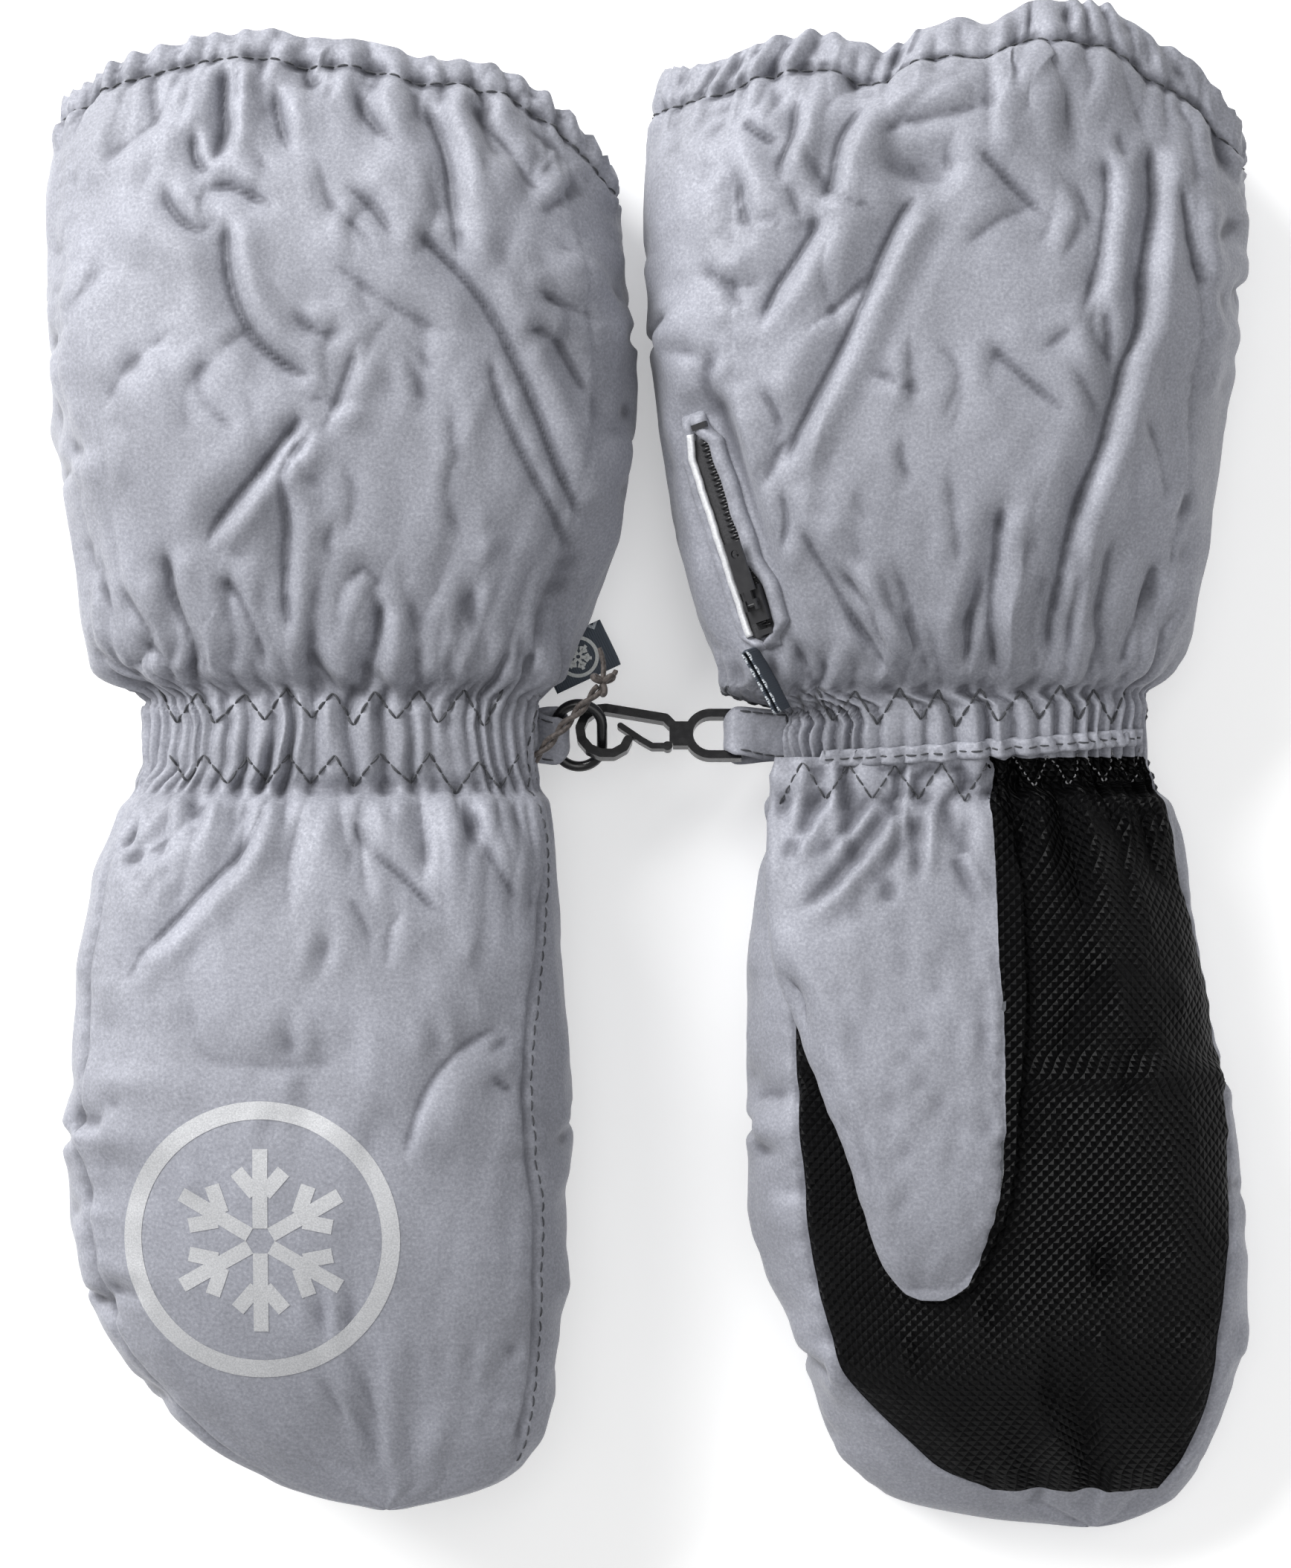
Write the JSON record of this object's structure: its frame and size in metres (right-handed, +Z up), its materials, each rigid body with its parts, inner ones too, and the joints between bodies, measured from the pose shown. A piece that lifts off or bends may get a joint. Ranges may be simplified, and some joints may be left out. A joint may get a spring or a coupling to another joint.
{
  "type": "ski mitten pair",
  "caption": "Pair of padded ski mittens with long elasticated cuffs, rubberised grip palms and side zips, joined at the wrists by a plastic snap hook and ring, lying flat.",
  "frame": {"origin": "on the resting plane, under the middle of the pair's bounding box", "axes": "+Z up from the resting plane; +Y from the fingertips towards the cuff openings; +X from the left mitten (back up) to the right mitten (palm up)"},
  "size_m": [0.252, 0.307, 0.048],
  "materials": {
    "shell_fabric": "satin reflective weave",
    "grip_fabric": "embossed rubberised",
    "wadding": "fluffy",
    "fleece": "brushed fleece",
    "elastic": "ribbed elastic",
    "clip_plastic": "moulded",
    "zip_tape": "woven tape",
    "zip_plastic": "moulded",
    "zip_pull": "lacquered",
    "reflective_silver": "retroreflective film",
    "label": "woven",
    "cord": "waxed cotton"
  },
  "bodies": {
    "right_cuff": {"right_cuff_back_panel": "shell_fabric", "right_cuff_palm_panel": "shell_fabric", "right_cuff_side_panels": "shell_fabric", "right_cuff_lining": "fleece", "right_hem_casing": "shell_fabric", "right_hem_elastic": "elastic", "right_wrist_casing": "shell_fabric", "right_wrist_elastic": "elastic", "right_wrist_strap": "shell_fabric", "right_zip_tapes": "zip_tape", "right_zip_coil": "zip_plastic", "right_zip_stops": "zip_plastic", "right_zip_piping": "reflective_silver", "right_woven_label": "label"},
    "right_zip_slider": {"right_zip_slider": "zip_pull"},
    "right_zip_pull": {"right_zip_pull": "zip_pull"},
    "right_hand": {"right_hand_back_panel": "shell_fabric", "right_side_gusset": "shell_fabric", "right_palm_grip_panel": "grip_fabric", "right_thumb_gore": "shell_fabric", "right_back_wadding": "wadding", "right_palm_wadding": "wadding", "right_hand_lining": "fleece", "right_reflective_print": "reflective_silver"},
    "right_thumb": {"right_thumb_back_panel": "shell_fabric", "right_thumb_grip_panel": "grip_fabric", "right_thumb_wadding": "wadding", "right_thumb_lining": "fleece"},
    "left_cuff": {"left_cuff_back_panel": "shell_fabric", "left_cuff_palm_panel": "shell_fabric", "left_cuff_side_panels": "shell_fabric", "left_cuff_lining": "fleece", "left_hem_casing": "shell_fabric", "left_hem_elastic": "elastic", "left_wrist_casing": "shell_fabric", "left_wrist_elastic": "elastic", "left_wrist_strap": "shell_fabric", "left_zip_tapes": "zip_tape", "left_zip_coil": "zip_plastic", "left_zip_stops": "zip_plastic", "left_zip_piping": "reflective_silver", "left_woven_label": "label", "hang_cord": "cord"},
    "left_zip_slider": {"left_zip_slider": "zip_pull"},
    "left_zip_pull": {"left_zip_pull": "zip_pull"},
    "left_hand": {"left_hand_back_panel": "shell_fabric", "left_side_gusset": "shell_fabric", "left_palm_grip_panel": "grip_fabric", "left_thumb_gore": "shell_fabric", "left_back_wadding": "wadding", "left_palm_wadding": "wadding", "left_hand_lining": "fleece", "left_reflective_print": "reflective_silver"},
    "left_thumb": {"left_thumb_back_panel": "shell_fabric", "left_thumb_grip_panel": "grip_fabric", "left_thumb_wadding": "wadding", "left_thumb_lining": "fleece"},
    "snap_hook": {"snap_hook": "clip_plastic"},
    "hook_gate": {"hook_gate": "clip_plastic"},
    "clip_ring": {"clip_ring": "clip_plastic"}
  },
  "joints": [
    {"name": "right_wrist_bend", "type": "hinge", "parent": "right_cuff", "child": "right_hand", "pos_m": [0.06707, -0.0055, 0.02], "axis": [-1, 0, 0], "range_deg": [-18, 20]},
    {"name": "right_thumb_swing", "type": "hinge", "parent": "right_hand", "child": "right_thumb", "pos_m": [0.05207, -0.0435, 0.042], "axis": [-0.8802, -0.4747, 0], "range_deg": [0, 35]},
    {"name": "right_zip_slide", "type": "slide", "parent": "right_cuff", "child": "right_zip_slider", "axis": [-0.309, 0.9511, 0], "range_m": [0, 0.032]},
    {"name": "right_zip_pull_swing", "type": "hinge", "parent": "right_zip_slider", "child": "right_zip_pull", "pos_m": [0.02276, 0.03298, 0.04221], "axis": [0.8236, 0.2676, 0.5], "range_deg": [0, 100]},
    {"name": "left_wrist_bend", "type": "hinge", "parent": "left_cuff", "child": "left_hand", "pos_m": [-0.06293, -0.0055, 0.028], "axis": [1, 0, 0], "range_deg": [-18, 20]},
    {"name": "left_thumb_swing", "type": "hinge", "parent": "left_hand", "child": "left_thumb", "pos_m": [-0.07793, -0.0435, 0.006], "axis": [0.8802, 0.4747, 0], "range_deg": [0, 35]},
    {"name": "left_zip_slide", "type": "slide", "parent": "left_cuff", "child": "left_zip_slider", "axis": [-0.309, 0.9511, 0], "range_m": [0, 0.032]},
    {"name": "left_zip_pull_swing", "type": "hinge", "parent": "left_zip_slider", "child": "left_zip_pull", "pos_m": [-0.10724, 0.03298, 0.00579], "axis": [-0.8236, -0.2676, 0.5], "range_deg": [0, 100]},
    {"name": "hook_swing", "type": "hinge", "parent": "right_cuff", "child": "snap_hook", "pos_m": [0.02017, 0.0067, 0.022], "axis": [0, 0.9397, -0.342], "range_deg": [-15, 5]},
    {"name": "gate_flex", "type": "hinge", "parent": "snap_hook", "child": "hook_gate", "pos_m": [0.00567, 0.00426, 0.02289], "axis": [0, -0.342, -0.9397], "range_deg": [0, 8]},
    {"name": "ring_swing", "type": "hinge", "parent": "snap_hook", "child": "clip_ring", "pos_m": [-0.00793, 0.0067, 0.022], "axis": [0, 0.9063, 0.4226], "range_deg": [-5, 12]},
    {"name": "left_mitten_swing", "type": "hinge", "parent": "clip_ring", "child": "left_cuff", "pos_m": [-0.01753, 0.0067, 0.022], "axis": [0, 0.9063, 0.4226], "range_deg": [-4, 15]}
  ]
}
